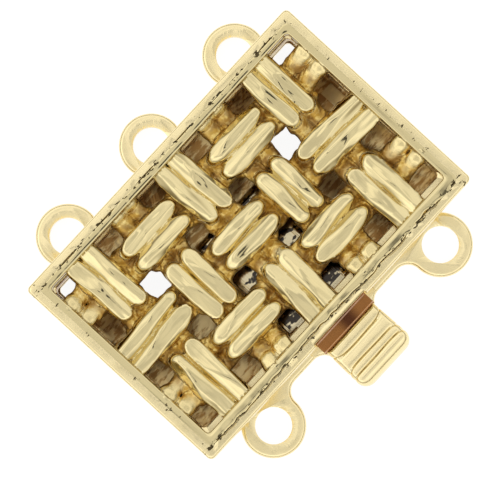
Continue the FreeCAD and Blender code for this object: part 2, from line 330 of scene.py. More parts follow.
def bead(along, across, bend, first, last):
    """A long bead with tapered round tips and long flat facets where it was filed and polished."""
    middle, half = (first + last) / 2, (last - first) / 2
    half_w = BEAD_HALF_W * random.uniform(0.98, 1.03)
    nose = BEAD_NOSE[along]
    blunt = BEAD_FULL / (BEAD_FULL - 1)
    sway = wander(3, 4.0)
    swell = wander(3, 2.4)
    facets = []
    for turn in FACET_TURNS:
        for part in FACET_PARTS:
            angle = radians(turn + random.uniform(-9, 9))
            loose = 2.4 if abs(turn) < TOP_FACETS else 0.8
            tilt = radians(loose * random.uniform(-1, 1) - 2.6 * part)
            shave = random.uniform(-0.016, 0.022)
            facets.append((angle, tilt, (part + random.uniform(-0.2, 0.2)) * half, shave))

    def depth(points):
        s = points[:, along] - middle
        part = np.abs(s) / half
        u = points[:, 1 - along] - across - bend * s / half - 0.025 * sway(s)
        w = points[:, 2] - BEAD_Z + BEAD_DROOP * part ** 2
        tip = np.maximum(np.abs(s) - half + nose, 0) / nose
        girth = 1 + 0.02 * swell(s) - 0.05 * part ** 2
        oval = np.abs(u / (half_w * girth)) ** BEAD_FULL + np.abs(w / (BEAD_HALF_H * girth)) ** BEAD_FULL
        value = ((oval + tip ** 1.7) ** (1 / BEAD_FULL) - 1) * BEAD_HALF_H
        for angle, tilt, where, shave in facets:
            wide, tall = abs(half_w * sin(angle)) ** blunt, abs(BEAD_HALF_H * cos(angle)) ** blunt
            reach = (wide + tall) ** (1 / blunt)
            plane = u * sin(angle) + w * cos(angle) + (s - where) * tilt - reach + shave
            value = smooth_cut(value, plane, FACET_ROUND)
        return value
    room = 0.7 + abs(bend)
    low, high = box_along(along, (first, last), (across - room, across + room),
                          (BEAD_Z - 0.7, BEAD_Z + 0.5))
    return Form(low, high, depth, CREASE, along, (middle, across), polish=1.0)


def link(along, across, stops, spread=0.0):
    """The strand itself, low and rough under each crossing pair."""
    sway = wander(3, 3.0)
    lumpy = wander(4, 1.3)
    knobbly = wander(4, 0.9)

    def depth(points):
        s = points[:, along]
        stray = spread * np.clip((np.abs(s) - 7.2) / 0.7, 0, 1)
        u = points[:, 1 - along] - across - 0.04 * sway(s) - stray
        w = points[:, 2] - eased(s, stops)
        rough = 0.030 * lumpy(s) + 0.010 * knobbly(s + 2.6 * u)
        return (np.hypot(u / LINK_HALF_W, w / LINK_HALF_H) - 1) * LINK_HALF_H - rough
    low, high = box_along(along, (stops[0][0], stops[-1][0]), (across - 0.85, across + 0.75),
                          (LINK_LOW - 0.4, LINK_AT_BORDER + 0.5))
    return Form(low, high, depth, CAST_BLEND, along, (0.0, across))


def web(along, across, bend, first, last):
    """Thin metal that closes the groove of a pair, higher and lower along it."""
    middle, half = (first + last) / 2, (last - first) / 2
    foot, mean_top, half_w = WEB
    height = wander(4, 2.2)

    def depth(points):
        s = points[:, along] - middle
        u = points[:, 1 - along] - across - bend * s / half
        top = mean_top + 0.20 * height(s)
        ends = np.abs(s) - half + 0.35
        return inside_all(np.abs(u) - half_w, points[:, 2] - top, ends, foot - points[:, 2])
    low, high = box_along(along, (first, last), (across - 0.4, across + 0.4), (foot, 3.75))
    return Form(low, high, depth, CREASE, along, (middle, across))


def floor_between(along, across, first, last):
    """Low grainy metal that fills the gap between the two strands of a pair."""
    foot, mean_top = FLOOR
    height = wander(4, 1.6)

    def depth(points):
        top = mean_top + 0.10 * height(points[:, along])
        u = np.abs(points[:, 1 - along] - across) - PAIR
        return inside_all(u, points[:, 2] - top, foot - points[:, 2])
    low, high = box_along(along, (first, last), (across - PAIR, across + PAIR), (foot, 3.2))
    return Form(low, high, depth, CAST_BLEND, along, (0.0, across))


def lump(x, y, half_x, half_y, z, half_z):
    """A soft blob of cast metal."""
    middle, half = np.array([x, y, z]), np.array([half_x, half_y, half_z])

    def depth(points):
        return (np.linalg.norm((points - middle) / half, axis=1) - 1) * half.min()
    return Form(middle - half, middle + half, depth)


def border_core(points):
    """The inside of the border, so that the strands run into it with round corners."""
    x, y, z = points.T
    x_low, x_high, y_half = WINDOW
    under = 0.012              # it stays just under the border's own skin
    beside_x = np.abs(x - (x_low + x_high) / 2) - (x_high - x_low) / 2
    opening = smooth_cut(beside_x, np.abs(y) - y_half, 0.25)
    top = z - RIM_TOP + under
    wall = under - opening
    corner = np.hypot(np.maximum(top + BORDER_ROUND, 0), np.maximum(wall + BORDER_ROUND, 0)) - BORDER_ROUND
    return inside_all(corner, top, wall, np.abs(x) - 6.0, np.abs(y) - 9.5, LEDGE_Z + 0.05 - z)


def strand_stops(crossings, over, ends, shelves, slope):
    """Where a strand's mid line goes, as (place along, height). Its ends are in the border. A strand that
    dives under the first and last pair first runs level to a shelf and then falls along the slope."""
    stops = []
    for place, is_over in zip(crossings, over):
        hold = 1.2 if is_over else 0.9
        level = LINK_HIGH if is_over else LINK_LOW
        stops += [(place - hold, level), (place + hold, level)]
    low_end, high_end = ends
    if over[0]:
        return [(low_end, LINK_HIGH)] + stops[1:-1] + [(high_end, LINK_HIGH)]
    low_shelf, high_shelf = shelves
    at_shelf, fallen = LINK_AT_BORDER - 0.05, LINK_HIGH - 0.1
    before = [(low_end, LINK_AT_BORDER), (low_shelf, at_shelf), (low_shelf + slope, fallen)]
    after = [(high_shelf - slope, fallen), (high_shelf, at_shelf), (high_end, LINK_AT_BORDER)]
    return before + stops + after


def crossing_lumps(x, y):
    """Blobs that the casting left in the four corners of a crossing."""
    blobs = []
    for side_x, side_y in ((-1, -1), (-1, 1), (1, -1), (1, 1)):
        if random.uniform() < 0.5:
            place_x = x + side_x * random.uniform(*LUMP_OUT)
            place_y = y + side_y * random.uniform(*LUMP_OUT)
            half_x, half_y = random.uniform(*LUMP_HALF, 2)
            blobs.append(lump(place_x, place_y, half_x, half_y, random.uniform(*LUMP_Z), LUMP_HALF_Z))
    return blobs


def woven_forms():
    """The border's core, every pair of beads, and the strands that dive between them."""
    forms = [Form((-6.2, -9.6, LEDGE_Z), (6.2, 9.6, RIM_TOP), border_core, polish=1.0)]
    for along, middles, beads in ((1, COLUMNS, BEADS_ALONG_Y), (0, ROWS, BEADS_ALONG_X)):
        for number, bend, first, last in beads:
            forms += [bead(along, middles[number] + side * PAIR, bend, first, last) for side in (-1, 1)]
            forms.append(web(along, middles[number], bend, first, last))
    for column, x in enumerate(COLUMNS):
        over = [(row + column) % 2 == 1 for row in range(len(ROWS))]
        stops = strand_stops(ROWS, over, (-9.5, 9.5), (-9.0, 9.0), 0.8)
        forms.append(floor_between(1, x, -9.4, 9.4))
        forms += [link(1, x + side * PAIR, stops, COLUMN_SPREAD[column]) for side in (-1, 1)]
    for row, y in enumerate(ROWS):
        over = [(row + column) % 2 == 0 for column in range(len(COLUMNS))]
        stops = strand_stops(COLUMNS, over, (-6.0, 6.0), (-5.72, 5.12), 0.45)
        forms.append(floor_between(0, y, -5.9, 5.8))
        forms += [link(0, y + side * PAIR, stops) for side in (-1, 1)]
        forms += [form for x in COLUMNS for form in crossing_lumps(x, y)]
    return forms


def ring(x_low, x_high, y_half, corner):
    """Points and outward directions round a rectangle with round corners, evenly along each stretch."""
    per_side = (360, 240)
    per_corner = 12
    centres = [(x_high - corner, y_half - corner), (x_low + corner, y_half - corner),
               (x_low + corner, -y_half + corner), (x_high - corner, -y_half + corner)]
    points, outward = [], []
    for quarter, (x, y) in enumerate(centres):
        turn = quarter * pi / 2
        direction = np.array([cos(turn), sin(turn)])
        before = np.array(centres[quarter - 1]) + direction * corner
        after = np.array([x, y]) + direction * corner
        count = per_side[quarter % 2]
        for n in range(count):
            points.append(before + (after - before) * n / count)
            outward.append(direction)
        for n in range(per_corner):
            angle = turn + pi / 2 * n / per_corner
            direction = np.array([cos(angle), sin(angle)])
            points.append(np.array([x, y]) + direction * corner)
            outward.append(direction)
    return np.array(points), np.array(outward)


def sweep(rings, closed=True):
    """Vertices and faces between rings of equal length, each one a list of points."""
    count = len(rings[0])
    near = np.arange(count)
    far = np.roll(near, -1)
    faces = []
    for n in range(len(rings) if closed else len(rings) - 1):
        a, b = n * count, (n + 1) % len(rings) * count
        faces.append(np.stack([a + near, a + far, b + far, b + near], axis=1))
    return np.concatenate(rings), np.concatenate(faces)


def lifted(points, z):
    """Flat points at one height, or each at its own."""
    return np.column_stack([points, np.broadcast_to(z, len(points))])


#              along y, place in x: the seam on the thumb side wanders
SEAM_WANDER = [(-9.7, 6.22), (-6.5, 6.25), (-2.8, 6.15), (-1.2, 6.10), (0.7, 6.15), (2.0, 6.22),
               (2.9, 6.30), (3.7, 6.15), (4.5, 6.28), (5.5, 6.24), (6.3, 6.13), (7.5, 6.17),
               (7.9, 6.24), (9.7, 6.30)]
seam_jitter = wander(5, 1.1)
seam_open = wander(5, 2.6)


def seam_ring():
    """The seam between border and case: its middle line, half its width, and the outward directions."""
    half_x, half_y, corner = SEAM
    points, outward = ring(-half_x, half_x, half_y, corner)
    y = points[:, 1]
    thumb_side = outward[:, 0] > 0.99
    long_side = np.abs(outward[:, 0]) > 0.99
    x = np.where(thumb_side, eased(y, SEAM_WANDER) + 0.025 * seam_jitter(y), points[:, 0])
    fade = np.clip((9.3 - np.abs(y)) / 0.6, 0, 1)
    place = np.column_stack([points[:, 0] + (x - points[:, 0]) * fade, y])
    around = np.arange(len(points)) * 0.055
    gape = 0.036 + 0.026 * seam_open(around) - np.where(thumb_side, 0.0, 0.026)
    half_gap = np.clip(np.where(long_side, gape, 0), 0.0015, 0.06)
    return place, half_gap, outward


def border_band():
    """The border's visible skin, from the window's edge to the seam."""
    seam, half_gap, outward = seam_ring()
    x_low, x_high, y_half = WINDOW
    rings = [lifted(ring(x_low, x_high, y_half, WINDOW_CORNER)[0], LEDGE_Z + 0.02)]
    for step in range(5):
        angle = radians(22.5 * step)
        grow = BORDER_ROUND * (1 - cos(angle))
        points = ring(x_low - grow, x_high + grow, y_half + grow, WINDOW_CORNER + grow)[0]
        rings.append(lifted(points, RIM_TOP - BORDER_ROUND + BORDER_ROUND * sin(angle)))
    inner = rings[-1][:, :2]
    edge = seam - outward * half_gap[:, None]
    lip = edge - outward * SEAM_LIP
    rings += [lifted(inner + (lip - inner) * part, RIM_TOP) for part in (0.35, 0.7, 1)]
    rings.append(lifted(edge, RIM_TOP - np.minimum(half_gap, SEAM_LIP)))
    rings.append(lifted(edge, LEDGE_Z + 0.02))
    return sweep(rings)


def case_shell():
    """The case wall, from the seam over the rim and down to the foot, and back up inside."""
    seam, half_gap, outward = seam_ring()
    edge = seam + outward * half_gap[:, None]
    rings = [lifted(edge, LEDGE_Z), lifted(edge, RIM_TOP - np.minimum(half_gap, SEAM_LIP)),
             lifted(edge + outward * SEAM_LIP, RIM_TOP)]
    for step in range(6):
        angle = radians(18 * step)
        grow = RIM_ROUND * (1 - sin(angle))
        points = ring(-RIM_X + grow, RIM_X - grow, RIM_Y - grow, RIM_CORNER)[0]
        rings.append(lifted(points, RIM_TOP - RIM_ROUND + RIM_ROUND * cos(angle)))
    for inset, z in ((0, FLARE_Z + 0.12), (0.02, FLARE_Z), (0.06, FLARE_Z - 0.12),
                     (FOOT_IN, FOOT_Z + 0.04), (FOOT_IN + 0.04, FOOT_Z)):
        rings.append(lifted(ring(-RIM_X + inset, RIM_X - inset, RIM_Y - inset, RIM_CORNER)[0], z))
    x_low, x_high, y_half = CAVITY
    for grow, z in ((0.0, FOOT_Z), (0.0, LEDGE_Z - 0.06), (0.06, LEDGE_Z)):
        rings.append(lifted(ring(x_low - grow, x_high + grow, y_half + grow, CAVITY_CORNER)[0], z))
    return sweep(rings)


def box_cutter(name, low, high):
    """A closed box, for cutting."""
    (x0, y0, z0), (x1, y1, z1) = low, high
    vertices = [(x, y, z) for x in (x0, x1) for y in (y0, y1) for z in (z0, z1)]
    faces = [(0, 1, 3, 2), (4, 6, 7, 5), (0, 4, 5, 1), (2, 3, 7, 6), (0, 2, 6, 4), (1, 5, 7, 3)]
    return build(name, vertices, faces)


def carve(piece, cutters):
    """Cuts each cutter out of a piece and removes it."""
    for cutter in cutters:
        cut = piece.modifiers.new("cut", "BOOLEAN")
        cut.operation = "DIFFERENCE"
        cut.solver = "EXACT"
        cut.object = cutter
        settle(piece)
        bpy.data.objects.remove(cutter)


def settle(piece):
    """Applies a piece's modifiers."""
    bpy.context.view_layer.update()
    depsgraph = bpy.context.evaluated_depsgraph_get()
    mesh = bpy.data.meshes.new_from_object(piece.evaluated_get(depsgraph))
    piece.modifiers.clear()
    piece.data = mesh


def arc(centre, radius, start_deg, end_deg, count):
    """Points along an arc, both ends included."""
    angles = np.radians(np.linspace(start_deg, end_deg, count))
    return [(centre[0] + radius * cos(a), centre[1] + radius * sin(a)) for a in angles]


def looped_edge(edge_x, loop_x, blend, cut_x=None):
    """A plate's +X edge from -Y to +Y past its three loops, each blended in on both sides. With cut_x the
    edge starts and ends on its outer loops, where they cross that x."""
    blend_x = edge_x + blend
    rise = sqrt((LOOP_R + blend) ** 2 - (blend_x - loop_x) ** 2)
    lean = degrees(acos((blend_x - loop_x) / (LOOP_R + blend)))
    cut = cut_x is not None
    trim = degrees(acos((cut_x - loop_x) / LOOP_R)) if cut else lean
    points = []
    for y in LOOP_Y:
        first, last = y == LOOP_Y[0], y == LOOP_Y[-1]
        if not (cut and first):
            points += arc((blend_x, y - rise), blend, 180, 180 - lean, 14)
        points += arc((loop_x, y), LOOP_R, -trim if first else -lean, trim if last else lean, 72)
        if not (cut and last):
            points += arc((blend_x, y + rise), blend, lean + 180, 180, 14)
    return points


def mirrored_edge(edge_x, loop_x, blend):
    """The box side's edge, worked out towards +X and turned over to -X."""
    return [(-x, y) for x, y in looped_edge(-edge_x, -loop_x, blend)]


def plate(name, outline, holes):
    """A flat plate with a round outer edge, pierced by holes with softened edges."""
    curve = bpy.data.curves.new(name, "CURVE")
    curve.dimensions = "2D"
    curve.fill_mode = "BOTH"
    spline = curve.splines.new("POLY")
    spline.points.add(len(outline) - 1)
    for point, (x, y) in zip(spline.points, outline):
        point.co = (x, y, 0, 1)
    spline.use_cyclic_u = True
    curve.extrude = PLATE_T / 2 - PLATE_ROUND
    curve.bevel_depth = PLATE_ROUND
    curve.bevel_resolution = 4
    curve.offset = -PLATE_ROUND
    source = bpy.data.objects.new(name, curve)
    bpy.context.scene.collection.objects.link(source)
    bpy.context.view_layer.update()
    mesh = bpy.data.meshes.new_from_object(source.evaluated_get(bpy.context.evaluated_depsgraph_get()))
    bpy.data.objects.remove(source)
    mesh.transform(Matrix.Translation((0, 0, PLATE_T / 2)))
    mesh.transform(Matrix.Scale(MM, 4))
    piece = bpy.data.objects.new(name, mesh)
    bpy.context.scene.collection.objects.link(piece)
    weld = piece.modifiers.new("weld", "WELD")
    weld.merge_threshold = 0.002 * MM
    settle(piece)
    carve(piece, [prism("hole", hole, -1, PLATE_T + 1) for hole in holes])
    soften = piece.modifiers.new("soften holes", "BEVEL")
    soften.width = HOLE_ROUND * MM
    soften.segments = 2
    soften.limit_method = "ANGLE"
    soften.angle_limit = radians(60)
    even = piece.modifiers.new("flats stay flat", "WEIGHTED_NORMAL")
    even.weight = 100
    settle(piece)
    piece.data.shade_smooth()
    return piece


def prism(name, outline, z_low, z_high):
    """A closed upright prism, for cutting."""
    count = len(outline)
    vertices = [(x, y, z) for z in (z_low, z_high) for x, y in outline]
    faces = [tuple(range(count))[::-1], tuple(range(count, 2 * count))]
    faces += [(n, (n + 1) % count, (n + 1) % count + count, n + count) for n in range(count)]
    return build(name, vertices, faces)


def circle(x, y, radius, count=64):
    return [(x + radius * cos(tau * n / count), y + radius * sin(tau * n / count)) for n in range(count)]


def rounded(x_low, x_high, y_low, y_high, corner):
    """A rectangle with round corners, as points."""
    points = []
    for x, y, start in ((x_high - corner, y_high - corner, 0), (x_low + corner, y_high - corner, 90),
                        (x_low + corner, y_low + corner, 180), (x_high - corner, y_low + corner, 270)):
        points += arc((x, y), corner, start, start + 90, 8)
    return points


def back_plate():
    half_x, half_y = BACK_HALF
    outline = mirrored_edge(-half_x, BOX_LOOP_X, BOX_LOOP_BLEND)
    for side_x, side_y, start in ((-1, 1, 180), (1, 1, 90), (1, -1, 0), (-1, -1, 270)):
        centre = (side_x * (half_x - BACK_CORNER), side_y * (half_y - BACK_CORNER))
        outline += arc(centre, BACK_CORNER, start, start - 90, 8)
    holes = [circle(BOX_LOOP_X, y, LOOP_HOLE_R) for y in LOOP_Y]
    for x_low, x_high, y_low, y_high in BACK_WINDOWS:
        holes.append(rounded(x_low, x_high, y_low, y_high, BACK_WINDOW_CORNER))
        holes.append(rounded(x_low, x_high, -y_high, -y_low, BACK_WINDOW_CORNER))
    return plate("back_plate_finish", outline, holes)


def tongue_base():
    outline = looped_edge(TONGUE_PLATE_X[1], TONGUE_LOOP_X, TONGUE_LOOP_BLEND, TONGUE_PLATE_X[0])
    holes = [circle(TONGUE_LOOP_X, y, LOOP_HOLE_R) for y in LOOP_Y]
    return plate("tongue_plate_finish", outline, holes)


def strip(path, widths, thickness, rounding):
    """A strip of sheet along a path in the XZ plane, with soft edges, as vertices and faces."""
    path = np.array(path, float)
    ahead = np.gradient(path, axis=0)
    ahead /= np.linalg.norm(ahead, axis=1)[:, None]
    rings = []
    for (x, z), (run, rise), width in zip(path, ahead, widths):
        section = []
        for corner, (right, top) in enumerate(((1, 1), (-1, 1), (-1, -1), (1, -1))):
            for n in range(4):
                angle = corner * pi / 2 + pi / 2 * n / 3
                side = right * (width / 2 - rounding) + rounding * cos(angle)
                up = top * (thickness / 2 - rounding) + rounding * sin(angle)
                section.append((x - rise * up, side, z + run * up))
        rings.append(np.array(section))
    vertices, faces = sweep(rings, closed=False)
    count = len(rings[0])
    last = len(vertices) - count
    caps = [tuple(range(count))[::-1], tuple(range(last, last + count))]
    return vertices, [tuple(face) for face in faces] + caps


def leaf_slope():
    """The angle at which the upper leaf leaves the fold, as a tangent, to reach its shoulders."""
    run, rise = SHOULDER[0] - FOLD[0], SHOULDER[1] - FOLD[1]
    touch = sqrt(run ** 2 + rise ** 2 - FOLD_MID_R ** 2)
    return atan2(rise, run) - atan2(FOLD_MID_R, touch)


def lower_leaf():
    path = [(LOWER_LEAF_END_X, LOWER_LEAF_Z), (3.0, LOWER_LEAF_Z)]
    path += arc(FOLD, FOLD_MID_R, 270, 188, 8)
    return strip(path[::-1], [LEAF_W] * len(path), LEAF_T, SHEET_ROUND)


def upper_leaf():
    path = arc(FOLD, FOLD_MID_R, 178, 90 + degrees(leaf_slope()), 8)
    start, bend = np.array(path[-1]), np.array(SHOULDER)
    path += [tuple(start + (bend - start) * part) for part in (0.33, 0.66, 0.96)]
    widths = [LEAF_W] * len(path)
    x, z = SHOULDER
    for place, width in ((x - 0.03, LEAF_W), (x, LEAF_W - 0.08), (x + 0.02, NECK_W), (x + 1.2, NECK_W),
                         (7.30, NECK_W), (7.40, SEAT_W), (NECK_END_X, SEAT_W)):
        path.append((place, z))
        widths.append(width)
    return strip(path, widths, LEAF_T, SHEET_ROUND)


def groove_line(place, curl, y, sine=np.sin):
    """Where a groove of the thumb piece runs, as x for y; it curls outward at its ends."""
    return place + curl * (abs(y) / 1.5) ** 6 + 0.02 * sine(2.1 * y + 5 * place)


def thumb_field(points):
    """The ribbed pad, with a seat under it for the end of the neck."""
    x, y, z = points.T
    x_in, x_out = THUMB_X
    z_low, z_top = THUMB_Z
    side = np.abs(y)
    half_w = THUMB_HALF_W - 0.06 + 0.03 * (x - 8.0)
    edges = [x_in] + [place for place, curl in GROOVES] + [x_out + 0.35]
    fade = np.clip((GROOVE_END - side) / 0.30, 0, 1)
    crown = z_top - 0.035 * (side / half_w) ** 4 + 0.045 * (x - 9.0)
    for low, high in zip(edges, edges[1:]):
        part = np.abs(2 * x - low - high) / (high - low)
        crown = crown - RIB_FALL * np.where(part < 1, part, 0) ** 3.5 * (0.35 + 0.65 * fade)
    nick_depth, nick_w = NICK
    for place, curl in GROOVES:
        off = x - groove_line(place, curl, y)
        crown = crown - (0.02 + 0.05 * fade) * np.exp(-(off / GROOVE_W) ** 2)
        half_w = half_w - nick_depth * np.exp(-(off / nick_w) ** 2)
    nose = np.clip(x - (x_out - NOSE_R), 0, NOSE_R * 0.98)
    crown = crown - (NOSE_R - np.sqrt(NOSE_R ** 2 - nose ** 2))
    corner = np.hypot(np.maximum(side - half_w + THUMB_CORNER, 0), np.maximum(x - x_out + THUMB_CORNER, 0))
    plan = inside_all(side - half_w, corner - THUMB_CORNER, x_in - x)
    under = z_low - z + 0.25 * np.maximum(x - (x_out - 0.5), 0)
    body = smooth_cut(smooth_cut(plan, (z - crown) * 0.8, 0.34), under, 0.18)
    seat = inside_all(z - THUMB_SEAT_Z, x - THUMB_WRAP_X)
    return inside_all(body, -seat)


class Wire:
    """A node's output with arithmetic: an expression on wires adds its Math nodes."""

    def __init__(self, socket):
        self.socket = socket

    def math(self, operation, *others):
        node = self.socket.id_data.nodes.new("ShaderNodeMath")
        node.operation = operation
        for slot, value in zip(node.inputs, others):
            connect(slot, value)
        return Wire(node.outputs[0])

    def __add__(self, other):
        return self.math("ADD", self, other)

    def __sub__(self, other):
        return self.math("SUBTRACT", self, other)

    def __rsub__(self, other):
        return self.math("SUBTRACT", other, self)

    def __mul__(self, other):
        return self.math("MULTIPLY", self, other)

    def __truediv__(self, other):
        return self.math("DIVIDE", self, other)

    def __pow__(self, other):
        return self.math("POWER", self, other)

    def __neg__(self):
        return 0 - self

    def __abs__(self):
        return self.math("ABSOLUTE", self)

    def sine(self):
        return self.math("SINE", self)

    def at_least(self, other):
        return self.math("MAXIMUM", self, other)

    def between(self, low, high):
        """0 up to low, 1 from high, smooth between."""
        node = self.socket.id_data.nodes.new("ShaderNodeMapRange")
        node.interpolation_type = "SMOOTHSTEP"
        for name, value in (("Value", self), ("From Min", low), ("From Max", high)):
            connect(node.inputs[name], value)
        return Wire(node.outputs[0])

    def within(self, middle, near, far):
        """1 up to near from the middle value, 0 from far, smooth between."""
        return 1 - abs(self - middle).between(near, far)

    __radd__ = __add__
    __rmul__ = __mul__


def connect(slot, value):
    """Gives a node's input a link or a fixed value."""
    if isinstance(value, Wire):
        slot.id_data.links.new(value.socket, slot)
    else:
        slot.default_value = value


class Tree:
    """The shader nodes of a material or a world."""

    def __init__(self, owner):
        owner.use_nodes = True
        self.tree = owner.node_tree
        self.tree.nodes.clear()

    def node(self, kind, settings=None, values=None, output=0):
        """Any node: its settings first, then the values or links of its sockets."""
        node = self.tree.nodes.new(kind)
        for name, value in (settings or {}).items():
            setattr(node, name, value)
        for name, value in (values or {}).items():
            connect(node.inputs[name], value)
        return Wire(node.outputs[output]) if node.outputs else None

    def axis(self, vector, number):
        return self.node("ShaderNodeSeparateXYZ", None, {"Vector": vector}, output=number)

    def mix(self, share, first, second):
        values = {"Factor": share, 6: first, 7: second}
        return self.node("ShaderNodeMix", {"data_type": "RGBA"}, values, output=2)


class Finish(Tree):
    """A material and its nodes."""

    def __init__(self, name):
        self.material = bpy.data.materials.new(name)
        super().__init__(self.material)
        self.place = self.node("ShaderNodeTexCoord", output="Object")

    def side(self, axis):
        """A point's place along one axis, in millimetres."""
        return self.axis(self.place, axis) / MM

    def height(self):
        return self.side(2)

    def noise(self, per_mm, detail=2.0, roughness=0.5, stretch=(1, 1, 1), place=None):
        """Soft noise with that many spots to a millimetre."""
        scaled = self.node("ShaderNodeVectorMath", {"operation": "MULTIPLY"},
                           {0: place or self.place, 1: [per_mm * s / MM for s in stretch]})
        return self.node("ShaderNodeTexNoise", None,
                         {"Vector": scaled, "Scale": 1.0, "Detail": detail, "Roughness": roughness})

    def pits(self):
        """Small dark pits and dashes along the seam, thick on the long sides."""
        x, y = self.side(0), self.side(1)
        near = abs(x).within(6.2, 0.04, 0.20) + 0.25 * abs(y).within(9.7, 0.05, 0.25)
        spots = self.noise(6.0, 2.0, 0.6, (1.0, 0.42, 1.0))
        clusters = self.noise(0.5, 1.0)
        where = self.height().between(3.75, 3.85) * near.between(0.05, 0.2)
        return (spots + 0.13 * near + 0.25 * clusters).between(0.815, 0.855) * where

    def bump(self, height, distance_mm, strength=1.0, normal=None):
        values = {"Height": height, "Distance": distance_mm * MM, "Strength": strength}
        if normal is not None:
            values["Normal"] = normal
        return self.node("ShaderNodeBump", None, values)

    def metal(self, colour, roughness, normal, bare=1.0):
        """Closes the tree with a metal surface; bare below 1 makes it less metallic, so that painted shade
        shows.
        """
        values = {"Base Color": colour, "Roughness": roughness, "Metallic": bare, "Normal": normal}
        shader = self.node("ShaderNodeBsdfPrincipled", None, values)
        self.node("ShaderNodeOutputMaterial", None, {"Surface": shader})
        return self.material


GOLD = (0.96, 0.81, 0.46, 1)
CAST = (0.78, 0.655, 0.35, 1)
GOLD_WARM = (0.80, 0.65, 0.32, 1)
# amber of the painted shade in the weave's recesses, darker and lighter with the grain
GOLD_SHADE = (0.57, 0.345, 0.07, 1)
GOLD_GRAIN = (0.84, 0.63, 0.215, 1)
# painted shade: dark brown for the lowest metal of the weave, and blotches in its recesses
SHADE_BROWN = (0.25, 0.125, 0.04, 1)
# painted shade inside the box, and the lighter painted reflections in it
INSIDE_SHADE = (0.52, 0.29, 0.09, 1)
INSIDE_REFLECTION = (1.0, 0.78, 0.38, 1)
SILVER = (0.62, 0.53, 0.34, 1)
# painted shade of the neck in its slot, red-brown and darker, and its painted glints
NECK_SHADE = (0.34, 0.145, 0.045, 1)
NECK_SHADE_DEEP = (0.09, 0.03, 0.015, 1)
NECK_GLINT = (0.80, 0.50, 0.34, 1)
# painted shade: the spring leaf inside the box, near black
LEAF_SHADE = (0.045, 0.038, 0.032, 1)
# dark pits of the seam, and painted shade in the thumb piece's grooves
PIT_AND_SHADE = (0.10, 0.075, 0.035, 1)
WHITE = (1, 1, 1, 1)


def cast_gold():
    """Plated casting: bright where it was polished, grainy between the beads, where painted shade turns
    the low metal amber and darker.
    """
    finish = Finish("cast gold")
    height = finish.height()
    strand = finish.node("ShaderNodeAttribute", {"attribute_name": "strand"}, output=1)
    rough_cast = 1 - finish.node("ShaderNodeAttribute", {"attribute_name": "polish"}, output=2)
    # painted shade: metal that lies low between the beads turns amber, and rough cast metal does so from a
    # little higher up
    recess_shade = 1 - (height - 0.20 * rough_cast).between(3.28, 3.56)
    sunk = (recess_shade * recess_shade).at_least(0.45 * rough_cast)
    grain = finish.noise(3.4, 2.0, 0.55)
    blotch = finish.noise(1.3, 2.0)
    lines = finish.noise(1.0, 1.0, 0.5, (0.40, 1.7, 1.0), strand)
    fine = finish.noise(16.0, 2.0)
    # the grain of the cast picks darker and lighter amber within the painted shade
    recess_shade_colour = finish.mix(grain.between(0.45, 0.66), GOLD_SHADE, GOLD_GRAIN)
    # darker blotches in the painted shade of the recesses
    recess_shade_colour = finish.mix(blotch.between(0.45, 0.62) * 0.7, recess_shade_colour, SHADE_BROWN)
    colour = finish.mix(rough_cast * 0.8, CAST, GOLD_WARM)
    colour = finish.mix(recess_shade, colour, recess_shade_colour)
    # painted shade: darker still towards the lowest metal of the weave
    colour = finish.mix((1 - height.between(2.90, 3.25)) * 0.8, colour, SHADE_BROWN)
    colour = finish.mix(lines.between(0.50, 0.80) * 0.25, colour, GOLD_WARM)
    pits = finish.pits()
    colour = finish.mix(pits, colour, PIT_AND_SHADE)
    rough = 0.06 + 0.03 * fine + 0.38 * sunk + 0.4 * pits
    normal = finish.bump(lines, 0.13, 0.9)
    normal = finish.bump(grain * sunk * 0.6 + fine * sunk * 0.08 - pits, 0.10, 0.9, normal)
    return finish.metal(colour, rough, normal)


def polished_gold():
    """Plated sheet and rim: even, with faint waves and scuffs; inside the box, brown painted shade with
    streaks and panes of painted reflection.
    """
    finish = Finish("polished gold")
    waves = finish.noise(0.8, 1.5)
    fine = finish.noise(9.0, 3.0, 0.6)
    streaks = finish.noise(2.4, 3.0, 0.6, (2.0, 0.6, 1.0))
    x, y = finish.side(0), finish.side(1)
    inside = x.within(0, 5.72, 5.76) * y.within(0, 9.22, 9.26)
    inside = inside * finish.height().between(0.60, 0.66) * (1 - finish.height().between(2.80, 2.84))
    colour = finish.mix(waves.between(0.4, 0.8) * 0.3, GOLD, GOLD_WARM)
    panes = finish.noise(0.55, 1.0)
    # painted shade inside the box, broken by streaks and panes of painted reflection
    inside_shade = finish.mix((0.7 * streaks + 0.6 * panes).between(0.56, 0.70), INSIDE_SHADE, INSIDE_REFLECTION)
    # painted reflection: a bright gold pane seen in the window near x -1.9, y 8.6
    pane_reflection = x.within(-1.88, 0.50, 0.56) * y.within(8.62, 0.36, 0.42)
    inside_shade = finish.mix(pane_reflection, inside_shade, GOLD)
    colour = finish.mix(inside, colour, inside_shade)
    pits = finish.pits()
    colour = finish.mix(pits, colour, PIT_AND_SHADE)
    rough = 0.19 + 0.10 * fine + 0.10 * inside + 0.4 * pits
    normal = finish.bump(waves, 0.05, 0.6)
    normal = finish.bump(fine + 6 * inside * streaks, 0.006, 0.5, normal)
    normal = finish.bump(-pits, 0.06, 0.8, normal)
    # less metallic inside the box, so that its painted shade shows
    return finish.metal(colour, rough, normal, 1 - 0.2 * inside)


